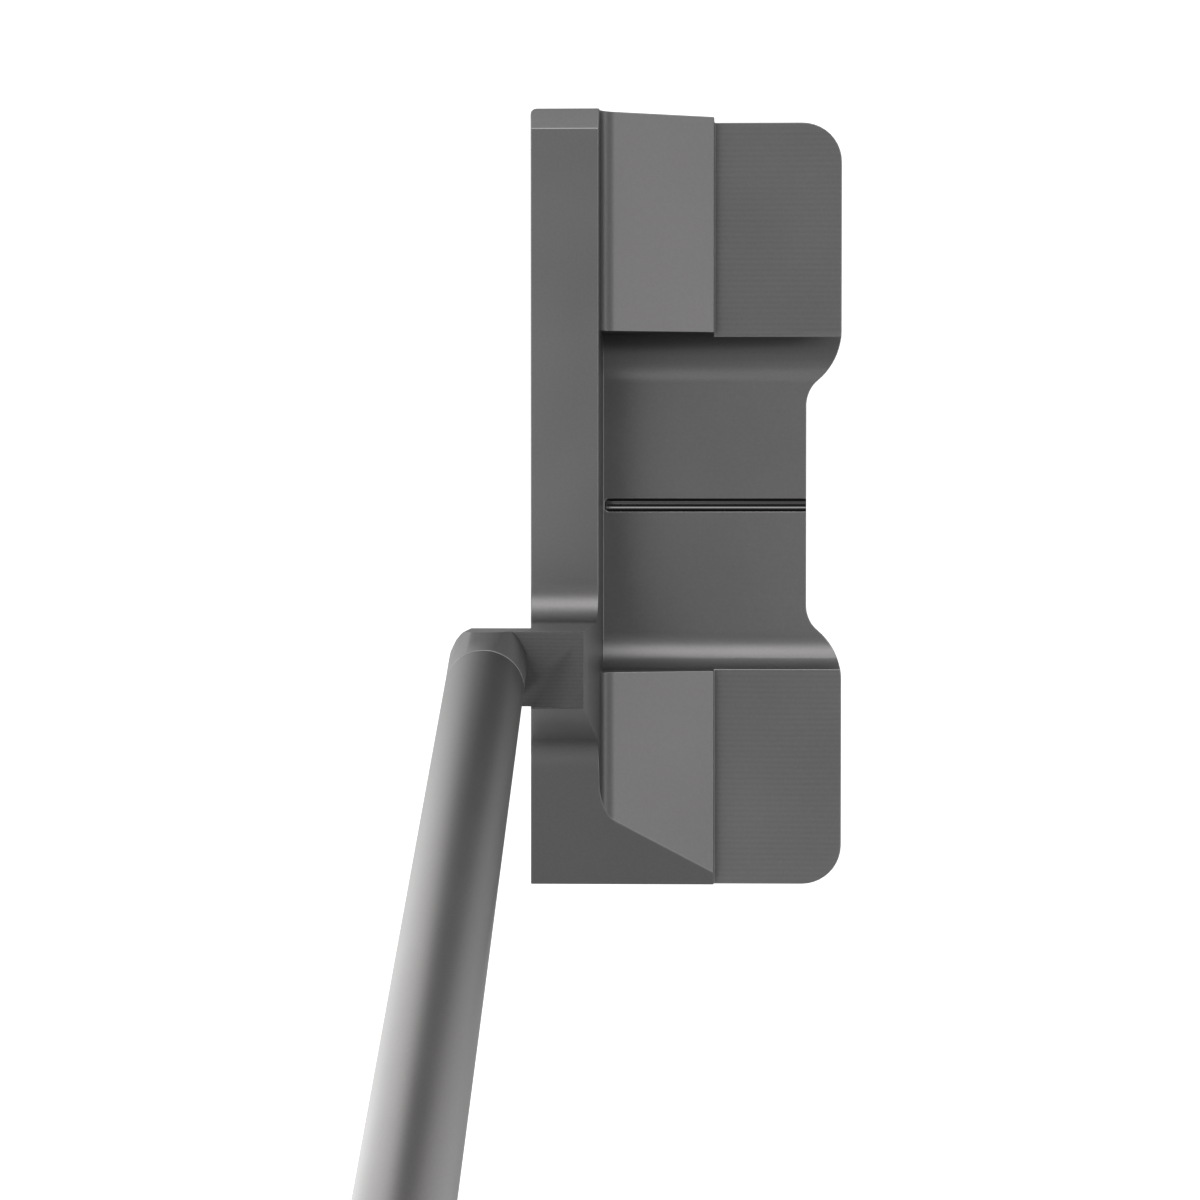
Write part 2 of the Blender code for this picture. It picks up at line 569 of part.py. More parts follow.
def build_weights(parts, cutters, weight_material, washer_material):
    edge = 0.4 * MM
    for side, x in WEIGHT_PLACES.items():
        place = Matrix.Translation((x, WEIGHT_Y, WEIGHT_SUNK))
        profile = [(0, WEIGHT_HEIGHT), (WEIGHT_RADIUS - edge, WEIGHT_HEIGHT)]
        profile += [(WEIGHT_RADIUS, WEIGHT_HEIGHT - edge), (WEIGHT_RADIUS, edge)]
        profile += [(WEIGHT_RADIUS - edge, 0), (0, 0)]
        weight = turned(f"{side}_weight", profile, place, parts)
        socket_place = Matrix.Translation((x, WEIGHT_Y, -MM))
        depth = MM + WEIGHT_SUNK + WEIGHT_SOCKET_DEPTH
        socket = rod(f"{side}_weight_socket", WEIGHT_SOCKET_RADIUS, depth, socket_place, cutters, 6)
        boolean(weight, socket, "DIFFERENCE")
        shade(weight, weight_material)

        seat = Matrix.Translation((x, WEIGHT_Y, WEIGHT_TOP + GAP))
        rim = WEIGHT_RADIUS - GAP
        ring = [(rim, WASHER_THICKNESS), (rim, 0), (WASHER_BORE, 0), (WASHER_BORE, WASHER_THICKNESS)]
        washer = turned(f"{side}_weight_washer", ring, seat, parts)
        shade(washer, washer_material)


# ---------------------------------------------------------------- shaft and grip
def shaft_profile():
    """Down the outer side from the butt to the tip, with the steps, then back up the bore."""
    rise = (SHAFT_BUTT_RADIUS - SHAFT_TIP_RADIUS) / SHAFT_STEPS
    outer = [(SHAFT_TIP_RADIUS, GAP)]
    for step in range(SHAFT_STEPS):
        height = SHAFT_TIP_PARALLEL + step * SHAFT_STEP_PITCH
        outer.append((SHAFT_TIP_RADIUS + step * rise, height))
        outer.append((SHAFT_TIP_RADIUS + (step + 1) * rise, height + SHAFT_STEP_CONE))
    outer.append((SHAFT_BUTT_RADIUS, JOINT_TO_BUTT))
    inner = [(radius - SHAFT_WALL, height) for radius, height in outer]
    return outer[::-1] + inner


def grip_section(inset):
    """The grip's outline at a station, inset from its outer skin: round below, a wider pistol
    shape with a flat for the thumbs on top."""
    low_end = JOINT_TO_BUTT - GRIP_LENGTH

    def section(station, angle):
        share = min(max((station - low_end) / GRIP_LENGTH, 0), 1)
        swell = share * share * (3 - 2 * share)
        half_width = GRIP_LOW_HALF_WIDTH + (GRIP_TOP_HALF_WIDTH - GRIP_LOW_HALF_WIDTH) * swell
        half_depth = GRIP_LOW_HALF_WIDTH + (GRIP_TOP_HALF_DEPTH - GRIP_LOW_HALF_WIDTH) * swell
        flat = half_depth * (1 - GRIP_FLAT_CUT * share)
        x = (half_depth - inset) * math.cos(angle)
        y = (half_width - inset) * math.sin(angle)
        return max(x, inset - flat), y

    return section


def round_section(radius):
    return lambda station, angle: (radius * math.cos(angle), radius * math.sin(angle))


def build_shaft_and_grip(parts, materials):
    shaft = turned("shaft", shaft_profile(), along_axis(0), parts, 28)
    shade(shaft, materials["shaft"])
    bore = SHAFT_TIP_RADIUS - SHAFT_WALL - GAP
    plug = rod("shaft_plug", bore, PLUG_LENGTH, along_axis(SPIGOT_LENGTH + GAP), parts, 24)
    shade(plug, materials["foam"])

    low_end = JOINT_TO_BUTT - GRIP_LENGTH
    stations = [low_end + GRIP_LENGTH * step / GRIP_STATIONS for step in range(GRIP_STATIONS + 1)]
    tape_inner = SHAFT_BUTT_RADIUS + GAP
    tape_outer = tape_inner + TAPE_THICKNESS
    core_bore = tape_outer + GAP
    ends = [low_end, JOINT_TO_BUTT]
    tape = sleeve("grip_tape", ends, round_section(tape_outer), round_section(tape_inner), parts)
    core_outer = grip_section(GRIP_SKIN + GAP)
    core = sleeve("grip_core", stations, core_outer, round_section(core_bore), parts)
    skin = sleeve("grip_skin", stations, grip_section(0), grip_section(GRIP_SKIN), parts)
    cap_low = JOINT_TO_BUTT + GAP
    cap_high = JOINT_TO_BUTT + CAP_THICKNESS
    edge = CAP_THICKNESS * 0.3

    def cap_outer(station, angle):
        inset = max(station - (cap_high - edge), 0)
        return grip_section(inset)(station, angle)

    levels = [cap_low, cap_high - edge, cap_high - edge / 2, cap_high]
    cap = sleeve("grip_cap", levels, cap_outer, round_section(CAP_VENT_RADIUS), parts)
    shade(tape, materials["tape"])
    shade(core, materials["foam"])
    shade(skin, materials["grip"])
    shade(cap, materials["cap"])


def build_putter():
    clear_scene()
    parts = new_collection("blade_putter")
    cutters = new_collection("cutters")
    anodised = finish_material("dark_anodised_head", (0.12, 0.118, 0.12), 0.38, 0.9)
    enamel = finish_material("black_enamel", (0.008, 0.008, 0.009), 0.12, 0.0)
    plate = finish_material("stainless_plate", (0.42, 0.41, 0.40), 0.3, 1.0)
    pad = finish_material("damping_elastomer", (0.03, 0.03, 0.03), 0.8, 0.0)
    screw = finish_material("screw_steel", (0.30, 0.30, 0.30), 0.3, 1.0)
    weight = finish_material("weight_steel", (0.35, 0.34, 0.33), 0.32, 1.0)
    washer = finish_material("washer_nylon", (0.55, 0.53, 0.48), 0.5, 0.0)
    build_head(parts, cutters, anodised)
    build_sight_line(parts, enamel)
    build_sole(parts, cutters, plate, pad, screw)
    build_weights(parts, cutters, weight, washer)
    build_shaft_and_grip(parts, {
        "shaft": finish_material("satin_dark_shaft", (0.14, 0.135, 0.135), 0.35, 0.9),
        "foam": finish_material("grip_foam", (0.06, 0.06, 0.06), 0.9, 0.0),
        "tape": finish_material("paper_tape", (0.6, 0.56, 0.45), 0.8, 0.0),
        "grip": finish_material("grip_skin", (0.035, 0.035, 0.036), 0.6, 0.0),
        "cap": finish_material("grip_cap_rubber", (0.03, 0.03, 0.03), 0.5, 0.0),
    })
    hide_cutters(cutters)


build_putter()
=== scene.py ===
import math

import bpy
from mathutils import Matrix, Vector


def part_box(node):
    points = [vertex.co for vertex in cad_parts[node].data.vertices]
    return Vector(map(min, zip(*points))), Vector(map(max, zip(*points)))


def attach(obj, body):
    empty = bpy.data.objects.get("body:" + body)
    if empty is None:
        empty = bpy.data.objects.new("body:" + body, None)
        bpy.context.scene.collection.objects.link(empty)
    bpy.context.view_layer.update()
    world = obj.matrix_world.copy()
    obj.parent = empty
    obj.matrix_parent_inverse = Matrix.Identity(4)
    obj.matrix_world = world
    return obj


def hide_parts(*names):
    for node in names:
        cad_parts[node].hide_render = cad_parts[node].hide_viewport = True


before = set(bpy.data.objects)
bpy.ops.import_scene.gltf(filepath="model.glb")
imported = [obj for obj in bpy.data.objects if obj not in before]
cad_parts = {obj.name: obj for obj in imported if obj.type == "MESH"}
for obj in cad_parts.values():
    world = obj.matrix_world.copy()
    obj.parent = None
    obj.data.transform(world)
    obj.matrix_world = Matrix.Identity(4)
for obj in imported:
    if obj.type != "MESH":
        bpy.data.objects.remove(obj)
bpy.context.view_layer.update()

# ---------------------------------------------------------------------------------------------
# The studio. The club stands on its sole as the player sees it, on a white sweep. Big soft
# panels stand at the face side, the toe and the rear, and the ceiling above the head is dark.
# ---------------------------------------------------------------------------------------------
MM = 0.001
WHITE = (1, 1, 1, 1)
FLOOR_SIZE = 6.0
FLOOR_DROP = 0.05 * MM                 # the floor lies this far under the sole
FLOOR_PAINT = (0.35, 0.35, 0.35, 1)
FLOOR_GLOW = 0.16                      # under the head
FACE_SIDE_GLOW = 2.1
FACE_SIDE_BAND = (-30 * MM, -130 * MM)
REAR_GLOW = 1.15
REAR_BAND = (30 * MM, 110 * MM)
SKY_SIDES = 0.50
SKY_OVERHEAD = 0.03
OVERHEAD_BAND = (0.975, 0.996)         # upward part of a direction, where the dark ceiling begins
EYE = Vector((-0.8, 5.92, 568.0)) * MM
HEELWARD_LEAN = 0.02663
FACEWARD_LEAN = -0.03409
SENSOR_WIDTH = 36.0
LENS = 113.0
NEAR_LIMIT = 0.01

bpy.context.scene.view_settings.view_transform = "Standard"


def maths(tree, operation, first, second=None, third=None):
    """A Math node fed by sockets or numbers; returns its output."""
    node = tree.nodes.new("ShaderNodeMath")
    node.operation = operation
    for slot, value in zip(node.inputs, (first, second, third)):
        if value is None:
            continue
        if isinstance(value, (int, float)):
            slot.default_value = value
        else:
            tree.links.new(value, slot)
    return node.outputs[0]


def ramp(tree, value, low, high, at_low, at_high):
    """A smooth change from one number to another as the value goes from low to high."""
    node = tree.nodes.new("ShaderNodeMapRange")
    node.interpolation_type = "SMOOTHSTEP"
    for slot, number in zip(list(node.inputs)[1:5], (low, high, at_low, at_high)):
        slot.default_value = number
    tree.links.new(value, node.inputs["Value"])
    return node.outputs[0]


bpy.ops.object.select_all(action="DESELECT")
bpy.ops.mesh.primitive_plane_add(size=FLOOR_SIZE, location=(0, 0, -FLOOR_DROP))
floor = bpy.context.object
floor.name = "studio_floor"
floor_paint = bpy.data.materials.new("floor_paint")
floor_paint.use_nodes = True
floor_tree = floor_paint.node_tree
floor_shader = floor_tree.nodes["Principled BSDF"]
floor_shader.inputs["Base Color"].default_value = FLOOR_PAINT
floor_shader.inputs["Roughness"].default_value = 0.9
floor_shader.inputs["Specular IOR Level"].default_value = 0.0
floor_shader.inputs["Emission Color"].default_value = WHITE
# The floor is a painted light: it glows plain white to the camera, and to the club it glows
# strongly in a band on the face side and another at the rear, dimly under the head.
floor_split = floor_tree.nodes.new("ShaderNodeSeparateXYZ")
floor_place = floor_tree.nodes.new("ShaderNodeTexCoord").outputs["Object"]
floor_tree.links.new(floor_place, floor_split.inputs[0])
floor_y = floor_split.outputs["Y"]
face_side_glow = ramp(floor_tree, floor_y, *FACE_SIDE_BAND, FLOOR_GLOW, FACE_SIDE_GLOW)
rear_glow = ramp(floor_tree, floor_y, *REAR_BAND, 0.0, REAR_GLOW)
floor_glow = maths(floor_tree, "ADD", face_side_glow, rear_glow)
floor_seen = floor_tree.nodes.new("ShaderNodeLightPath").outputs["Is Camera Ray"]
floor_tree.links.new(
    maths(floor_tree, "MAXIMUM", floor_seen, floor_glow), floor_shader.inputs["Emission Strength"])
floor.data.materials.append(floor_paint)

sky = bpy.data.worlds.new("studio_air")
bpy.context.scene.world = sky
sky.use_nodes = True
sky_tree = sky.node_tree
sky_split = sky_tree.nodes.new("ShaderNodeSeparateXYZ")
sky_direction = sky_tree.nodes.new("ShaderNodeTexCoord").outputs["Generated"]
sky_tree.links.new(sky_direction, sky_split.inputs[0])
sky_glow = ramp(sky_tree, sky_split.outputs["Z"], *OVERHEAD_BAND, SKY_SIDES, SKY_OVERHEAD)
sky_seen = sky_tree.nodes.new("ShaderNodeLightPath").outputs["Is Camera Ray"]
sky_shader = sky_tree.nodes["Background"]
sky_tree.links.new(maths(sky_tree, "MAXIMUM", sky_seen, sky_glow), sky_shader.inputs["Strength"])
sky_shader.inputs["Color"].default_value = WHITE


def softbox(name, centre, aim, width, height, power):
    """A rectangular panel that faces a point on the club."""
    lamp = bpy.data.lights.new(name, "AREA")
    lamp.shape = "RECTANGLE"
    lamp.size = width
    lamp.size_y = height
    lamp.energy = power
    box = bpy.data.objects.new(name, lamp)
    box.location = centre
    box.rotation_euler = (Vector(aim) - Vector(centre)).to_track_quat("-Z", "Y").to_euler()
    bpy.context.scene.collection.objects.link(box)


HEAD_MIDDLE = (0, 0, 0.02)
softbox("face_side_panel", (0.1, -1.4, 0.7), (0.05, 0, 0.1), width=1.6, height=1.0, power=9.0)
softbox("top_panel", (0.28, -0.60, 1.5), HEAD_MIDDLE, width=1.2, height=0.9, power=5.4)
softbox("toe_side_panel", (-1.25, 0.1, 0.68), HEAD_MIDDLE, width=1.2, height=0.95, power=8.2)
softbox("rear_panel", (0.0, 0.85, 1.35), HEAD_MIDDLE, width=1.2, height=0.6, power=3.0)

# The camera hangs over the sight line, where a player's eyes are. The two leans turn the view
# towards the middle of the head.
camera_data = bpy.data.cameras.new("eye")
camera_data.sensor_width = SENSOR_WIDTH
camera_data.lens = LENS
camera_data.clip_start = NEAR_LIMIT
camera = bpy.data.objects.new("eye", camera_data)
bpy.context.scene.collection.objects.link(camera)
backward = -Vector((HEELWARD_LEAN, FACEWARD_LEAN, -1)).normalized()
toeward = Vector((-1, 0, 0))
upward = (toeward - backward * toeward.dot(backward)).normalized()
rightward = upward.cross(backward)
facing = Matrix((rightward, upward, backward)).transposed().to_4x4()
camera.matrix_world = Matrix.Translation(EYE) @ facing
bpy.context.scene.camera = camera

# ---------------------------------------------------------------------------------------------
# The head, with its plumber's neck. Milled in one piece from an aluminium block, its sharp
# edges broken with a fine chamfer, then hard-anodised a dark satin grey. The flats on the outer
# bumpers and on the neck's arm keep the faint lines of the last milling pass. The colour paints
# shade and light as well: the arm's top is darker, a painted shade, the barrel lighter, a
# painted light, and the broken edges lighter, a painted highlight.
# ---------------------------------------------------------------------------------------------
HEAD_SNAP = 0.12 * MM                  # corners closer than this are one corner
HEAD_EDGE = 0.14 * MM
NECK_TOP = 67.3 * MM
TOP_WITHIN = 0.08 * MM                 # corners this near the neck's top are set level with it
TOE_CORNER_RADIUS = 0.9 * MM
TOE_WITHIN = 0.1 * MM
FACE_CORNER_Y = -20.0 * MM             # the toe's front corner lies ahead of this
CORNER_LENGTH = 5.0 * MM               # and is longer than this
BARREL_FOOT = 67.2 * MM
BARREL_END = 74.0 * MM
BARREL_REAR_Y = -20.9 * MM
HEAD_DARK = (0.150, 0.147, 0.149)
HEAD_LIGHT = (0.200, 0.196, 0.198)
# Painted highlight: the broken edges' lightest tone, lighter than the flats.
HEAD_EDGE_PAINTED_HIGHLIGHT = (0.235, 0.231, 0.233)
HEAD_ROUGHNESS = 0.40
HEAD_RIM = 0.85
ARM_TOP = (67.1 * MM, 67.5 * MM)
# Painted shade: the arm's top is coloured darker than the rest of the head.
ARM_PAINTED_SHADE_LOW = (0.098, 0.096, 0.097)
ARM_PAINTED_SHADE_HIGH = (0.136, 0.133, 0.135)
ARM_PITCH = 0.5 * MM
# Painted light: the barrel is coloured lighter than the rest of the head.
BARREL = (67.5 * MM, 76.0 * MM)
BARREL_PAINTED_LIGHT_LOW = (0.178, 0.174, 0.176)
BARREL_PAINTED_LIGHT_HIGH = (0.226, 0.221, 0.223)
ALL_Y = (-1.0, 1.0)
BEHIND_STEP = (4.0 * MM, 1.0)
OUTER_BUMPER_TOP = (10.3 * MM, 10.7 * MM)
CAVITY_FLOOR = (5.9 * MM, 6.1 * MM)
BUMPER_PITCH = 0.8 * MM
head_low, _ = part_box("head_body")


def only(piece):
    """Makes one piece the selected and active one."""
    bpy.ops.object.select_all(action="DESELECT")
    piece.select_set(True)
    bpy.context.view_layer.objects.active = piece


def apply_all(piece):
    """Applies the piece's modifiers in their order."""
    only(piece)
    for modifier in list(piece.modifiers):
        bpy.ops.object.modifier_apply(modifier=modifier.name)


def whole_copy(node, name, snap):
    """A copy of a solid with its corners joined and its flat faces whole."""
    piece = bpy.data.objects.new(name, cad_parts[node].data.copy())
    bpy.context.scene.collection.objects.link(piece)
    piece.data.materials.clear()
    only(piece)
    bpy.ops.mesh.customdata_custom_splitnormals_clear()
    bpy.ops.object.mode_set(mode="EDIT")
    bpy.ops.mesh.select_all(action="SELECT")
    bpy.ops.mesh.remove_doubles(threshold=snap)
    bpy.ops.mesh.dissolve_limited(angle_limit=math.radians(0.6))
    bpy.ops.object.mode_set(mode="OBJECT")
    return piece


def break_edges(piece, width, sharp=24, materials=2, crisp=None):
    """Rounds the sharp edges a little and smooths the rest. The last material goes on the
    rounded edges. An edge stays sharp where crisp says so of its middle."""
    only(piece)
    bpy.ops.object.mode_set(mode="EDIT")
    bpy.ops.mesh.select_mode(type="EDGE")
    bpy.ops.mesh.select_all(action="DESELECT")
    bpy.ops.mesh.edges_select_sharp(sharpness=math.radians(sharp))
    bpy.ops.object.mode_set(mode="OBJECT")
    weights = piece.data.attributes.new("bevel_weight_edge", "FLOAT", "EDGE")
    for edge in piece.data.edges:
        first, second = (piece.data.vertices[index].co for index in edge.vertices)
        keep = crisp is not None and crisp((first + second) / 2)
        weights.data[edge.index].value = 1.0 if edge.select and not keep else 0.0
        edge.use_edge_sharp = edge.select and keep
    bevel = piece.modifiers.new("broken_edges", "BEVEL")
    bevel.width = width
    bevel.segments = 2
    bevel.limit_method = "WEIGHT"
    bevel.use_clamp_overlap = False
    bevel.material = materials - 1
    for _ in range(materials):
        piece.data.materials.append(None)
    apply_all(piece)
    bpy.ops.object.shade_smooth()
    weighted = piece.modifiers.new("flat_faces", "WEIGHTED_NORMAL")
    weighted.keep_sharp = True
    weighted.weight = 80
    apply_all(piece)


def new_group(name, inputs, outputs):
    """An empty node group with named sockets, and its input and output nodes."""
    group = bpy.data.node_groups.new(name, "ShaderNodeTree")
    for socket, kind, value in inputs:
        made = group.interface.new_socket(socket, in_out="INPUT", socket_type=kind)
        made.default_value = value
    for socket in outputs:
        group.interface.new_socket(socket, in_out="OUTPUT", socket_type="NodeSocketFloat")
    start = group.nodes.new("NodeGroupInput")
    end = group.nodes.new("NodeGroupOutput")
    return group, start, end


def put_group(tree, group, **values):
    """The group in a tree, with its own values; underscores stand for spaces."""
    node = tree.nodes.new("ShaderNodeGroup")
    node.node_tree = group
    for key, value in values.items():
        node.inputs[key.replace("_", " ")].default_value = value
    return node


def object_place(tree):
    """Where a point lies in the object's frame, in metres."""
    return tree.nodes.new("ShaderNodeTexCoord").outputs["Object"]


def noise(tree, vector, scale, detail, roughness=0.5):
    """A Noise node's value, from 0 to 1."""
    node = tree.nodes.new("ShaderNodeTexNoise")
    values = {"Scale": scale, "Detail": detail, "Roughness": roughness, "Vector": vector}
    for key, value in values.items():
        if isinstance(value, (int, float)):
            node.inputs[key].default_value = value
        else:
            tree.links.new(value, node.inputs[key])
    return node.outputs["Fac"]


def stretched(tree, vector, scale):
    """The place, scaled by its own number along each axis."""
    node = tree.nodes.new("ShaderNodeMapping")
    node.inputs["Scale"].default_value = scale
    tree.links.new(vector, node.inputs["Vector"])
    return node.outputs[0]


# Fine blasted grain with slow, faint patches: Tone and Gloss vary round zero, Height is the grain.
grain, grain_in, grain_out = new_group(
    "satin_grain",
    [("Grain Scale", "NodeSocketFloat", 2600.0), ("Patch Scale", "NodeSocketFloat", 38.0)],
    ["Tone", "Gloss", "Height"],
)
grain_place = object_place(grain)
fine = noise(grain, grain_place, grain_in.outputs["Grain Scale"], 2.0)
slow = noise(grain, grain_place, grain_in.outputs["Patch Scale"], 3.0)
patch = maths(grain, "SUBTRACT", slow, 0.5)
grain.links.new(
    maths(grain, "MULTIPLY_ADD", patch, 0.7, maths(grain, "SUBTRACT", fine, 0.5)),
    grain_out.inputs["Tone"])
grain.links.new(patch, grain_out.inputs["Gloss"])
grain.links.new(fine, grain_out.inputs["Height"])

# Lines of the milling cutter, side by side along X: Height is the ridges and Line their tone.
milling, milling_in, milling_out = new_group(
    "milling_lines", [("Pitch", "NodeSocketFloat", 0.8 * MM)], ["Height", "Line"])
milling_place = object_place(milling)
milling_split = milling.nodes.new("ShaderNodeSeparateXYZ")
milling.links.new(milling_place, milling_split.inputs[0])
wander = noise(milling, milling_place, 60.0, 1.0)
across = maths(milling, "MULTIPLY_ADD", wander, 0.25 * MM, milling_split.outputs["X"])
turns = maths(milling, "DIVIDE", across, milling_in.outputs["Pitch"])
ridge = maths(milling, "SINE", maths(milling, "MULTIPLY", turns, 2 * math.pi))
feed = noise(milling, stretched(milling, milling_place, (1.0, 0.04, 1.0)), 1500.0, 2.0)
milling.links.new(maths(milling, "MULTIPLY_ADD", feed, 1.2, ridge), milling_out.inputs["Height"])
milling.links.new(
    maths(milling, "MULTIPLY", ridge, maths(milling, "SUBTRACT", feed, 0.1)),
    milling_out.inputs["Line"])


def mix_colour(tree, factor, first, second):
    """The first colour where the factor is 0 and the second where it is 1."""
    node = tree.nodes.new("ShaderNodeMix")
    node.data_type = "RGBA"
    tree.links.new(factor, node.inputs["Factor"])
    for slot, value in ((node.inputs[6], first), (node.inputs[7], second)):
        if isinstance(value, tuple):
            slot.default_value = (*value, 1)
        else:
            tree.links.new(value, slot)
    return node.outputs[2]


def between(tree, value, low, high):
    """1 where the value lies between two limits, else 0."""
    above = maths(tree, "GREATER_THAN", value, low)
    below = maths(tree, "LESS_THAN", value, high)
    return maths(tree, "MULTIPLY", above, below)


def plain_material(name, metallic=0.0):
    """A new material, its node tree and its shader."""
    material = bpy.data.materials.new(name)
    material.use_nodes = True
    shader = material.node_tree.nodes["Principled BSDF"]
    shader.inputs["Metallic"].default_value = metallic
    return material, material.node_tree, shader


def bump(tree, shader, height, strength, distance):
    """Gives the shader's surface a relief, distance deep."""
    relief = tree.nodes.new("ShaderNodeBump")
    relief.inputs["Strength"].default_value = strength
    relief.inputs["Distance"].default_value = distance
    tree.links.new(height, relief.inputs["Height"])
    tree.links.new(relief.outputs["Normal"], shader.inputs["Normal"])


def satin_metal(
        name, dark, light, roughness, relief=0.25, marks=(), painted_light_zones=(), extra=None, rim=1.0):
    """A satin metal between two tones. rim is how bright it stays at a glancing angle. marks are
    (Y limits, Z limits, pitch, strength) of the flats that keep milling lines; the zones after
    them are (Z limits, two tones) of parts coloured darker as painted shade or lighter as painted
    light; and extra adds its own lines to the tone and height."""
    material, tree, shader = plain_material(name, metallic=1.0)
    shader.inputs["Specular Tint"].default_value = (rim, rim, rim, 1)
    surface = put_group(tree, grain)
    tone = maths(tree, "MULTIPLY_ADD", surface.outputs["Tone"], 0.5, 0.5)
    height = surface.outputs["Height"]
    split = tree.nodes.new("ShaderNodeSeparateXYZ")
    tree.links.new(object_place(tree), split.inputs[0])
    _, y, z = split.outputs
    for y_limits, z_limits, pitch, strength in marks:
        cutter = put_group(tree, milling, Pitch=pitch)
        mask = maths(tree, "MULTIPLY", between(tree, y, *y_limits), between(tree, z, *z_limits))
        line = maths(tree, "MULTIPLY", mask, cutter.outputs["Line"])
        tone = maths(tree, "MULTIPLY_ADD", line, strength, tone)
        ridges = maths(tree, "MULTIPLY", mask, cutter.outputs["Height"])
        height = maths(tree, "MULTIPLY_ADD", ridges, strength * 2, height)
    if extra:
        tone, height = extra(tree, tone, height)
    colour = mix_colour(tree, tone, dark, light)
    # Each zone takes its own darker or lighter tones, a painted shade or a painted light.
    for z_limits, painted_zone_dark, painted_zone_light in painted_light_zones:
        painted_zone_colour = mix_colour(tree, tone, painted_zone_dark, painted_zone_light)
        colour = mix_colour(tree, between(tree, z, *z_limits), colour, painted_zone_colour)
    tree.links.new(colour, shader.inputs["Base Color"])
    tree.links.new(
        maths(tree, "MULTIPLY_ADD", surface.outputs["Gloss"], 0.12, roughness),
        shader.inputs["Roughness"])
    bump(tree, shader, height, relief, 0.01 * MM)
    return material


head = whole_copy("head_body", "milled_head", HEAD_SNAP)
for vertex in head.data.vertices:
    if abs(vertex.co.z - NECK_TOP) < TOP_WITHIN:
        vertex.co.z = NECK_TOP
bpy.ops.object.mode_set(mode="EDIT")
bpy.ops.mesh.select_all(action="DESELECT")
bpy.ops.mesh.select_mode(type="EDGE")
bpy.ops.object.mode_set(mode="OBJECT")
for edge in head.data.edges:
    first, second = (head.data.vertices[index].co for index in edge.vertices)
    at_toe = max(first.x, second.x) < head_low.x + TOE_WITHIN
    in_front = max(first.y, second.y) < FACE_CORNER_Y
    edge.select = at_toe and in_front and abs(first.z - second.z) > CORNER_LENGTH
bpy.ops.object.mode_set(mode="EDIT")
bpy.ops.mesh.bevel(offset=TOE_CORNER_RADIUS, segments=5)
bpy.ops.object.mode_set(mode="OBJECT")


def on_barrel(point):
    """On the leaning barrel, between the arm's top and the joint with the shaft."""
    return BARREL_FOOT < point.z < BARREL_END and point.y < BARREL_REAR_Y


break_edges(head, HEAD_EDGE, crisp=on_barrel)
# The edges round the arm's top keep the head's own tones, without the painted highlight.
for face in head.data.polygons:
    if NECK_TOP - MM < face.center.z < NECK_TOP + 0.1 * MM:
        face.material_index = 0
head_marks = [
    (BEHIND_STEP, OUTER_BUMPER_TOP, BUMPER_PITCH, 0.24),
    (ALL_Y, CAVITY_FLOOR, BUMPER_PITCH, 0.03),
    (ALL_Y, ARM_TOP, ARM_PITCH, 0.3),
]
# The arm's top is coloured darker, a painted shade, and the barrel lighter, a painted light.
head.data.materials[0] = satin_metal(
    "dark_satin_head", HEAD_DARK, HEAD_LIGHT, HEAD_ROUGHNESS, marks=head_marks,
    painted_light_zones=[(ARM_TOP, ARM_PAINTED_SHADE_LOW, ARM_PAINTED_SHADE_HIGH), (BARREL, BARREL_PAINTED_LIGHT_LOW, BARREL_PAINTED_LIGHT_HIGH)], rim=HEAD_RIM)
# The broken edges run from the head's light tone up to a lighter one, a painted highlight.
head.data.materials[1] = satin_metal("broken_edge", HEAD_LIGHT, HEAD_EDGE_PAINTED_HIGHLIGHT, 0.34)
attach(head, "root")
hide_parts("head_body")

# ---------------------------------------------------------------------------------------------
# The sight line. Black enamel run into the milled groove in two coats; as it dries it creeps up
# the walls, so its top is hollow with a shoulder each side, and throws two thin lines of light.
# ---------------------------------------------------------------------------------------------
GROOVE_DEPTH = 0.7 * MM
GROOVE_WIDTH = 1.9 * MM
ENAMEL_UNDER_GAP = 0.1 * MM
ENAMEL_SIDE_GAP = 0.02 * MM
ENAMEL_BLOCK = 0.5 * MM
ENAMEL_TOP = 0.18 * MM
ENAMEL_SHOULDER = 0.16 * MM
ENAMEL_CUTS = 48
SHOULDER_FROM, SHOULDER_TO = 0.20, 0.56
ENAMEL_DARK = (0.002, 0.002, 0.0022)
ENAMEL_LIGHT = (0.006, 0.006, 0.0066)
line_low, line_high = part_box("sight_line_fill")
floor_z = line_low.z + GROOVE_DEPTH - ENAMEL_UNDER_GAP
line_wide = GROOVE_WIDTH / 2 - ENAMEL_SIDE_GAP

bpy.ops.object.select_all(action="DESELECT")
bpy.ops.mesh.primitive_cube_add(size=1.0)
sight_line = bpy.context.object
sight_line.name = "sight_line_enamel"
bpy.ops.object.mode_set(mode="EDIT")
bpy.ops.mesh.select_all(action="SELECT")
bpy.ops.transform.resize(value=(line_wide * 2, line_high.y - line_low.y, ENAMEL_BLOCK))
bpy.ops.transform.translate(
    value=(0, (line_low.y + line_high.y) / 2, line_low.z + ENAMEL_BLOCK / 2))
for cut in range(1, ENAMEL_CUTS):
    slice_x = -line_wide + 2 * line_wide * cut / ENAMEL_CUTS
    bpy.ops.mesh.select_all(action="SELECT")
    bpy.ops.mesh.bisect(plane_co=(slice_x, 0, 0), plane_no=(1, 0, 0))
bpy.ops.object.mode_set(mode="OBJECT")


def smooth_step(value, low, high):
    """Rises smoothly from 0 at low to 1 at high, and stays level outside them."""
    share = min(max((value - low) / (high - low), 0), 1)
    return share * share * (3 - 2 * share)


